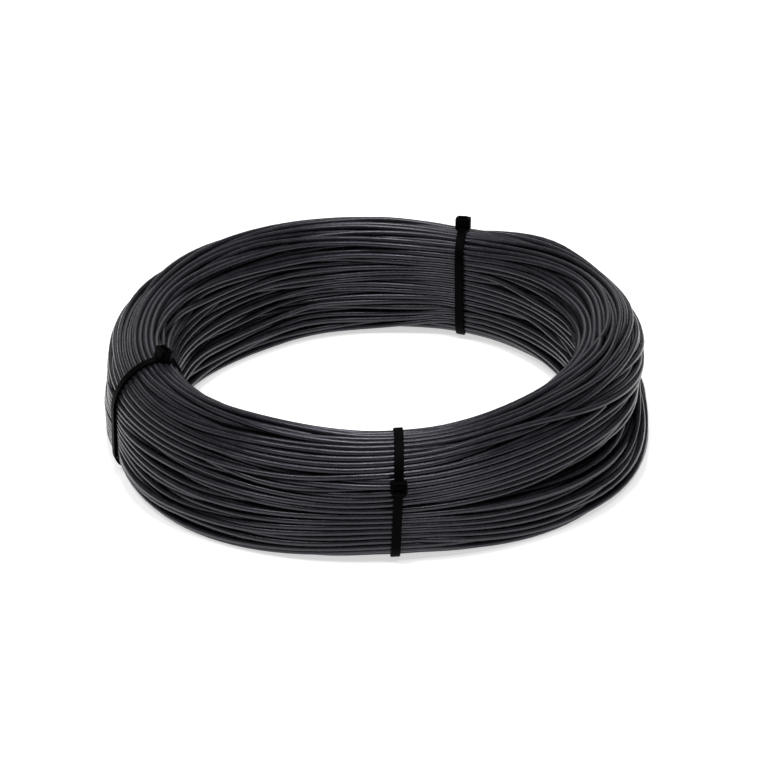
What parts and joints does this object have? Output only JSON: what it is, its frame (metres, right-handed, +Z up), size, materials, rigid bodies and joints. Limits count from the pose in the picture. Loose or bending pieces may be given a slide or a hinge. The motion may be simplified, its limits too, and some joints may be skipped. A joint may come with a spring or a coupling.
{
  "type": "coil of wire rod",
  "caption": "Flat-lying coil of dark steel wire with an open eye, its turns bundled tight by cable ties round the ring.",
  "frame": {"origin": "on the floor, on the axis of the coil", "axes": "+Z up along the coil's axis, -Y towards the front, where the tie with its head on the outer face is"},
  "size_m": [0.292, 0.2985, 0.0695],
  "materials": {
    "dark_steel_wire": "dark oxide, satin",
    "black_nylon": "moulded, semi-matt"
  },
  "bodies": {
    "root": {"wire_coil": "dark_steel_wire", "cable_tie_front": "black_nylon", "cable_tie_left": "black_nylon", "cable_tie_back": "black_nylon"}
  },
  "joints": []
}
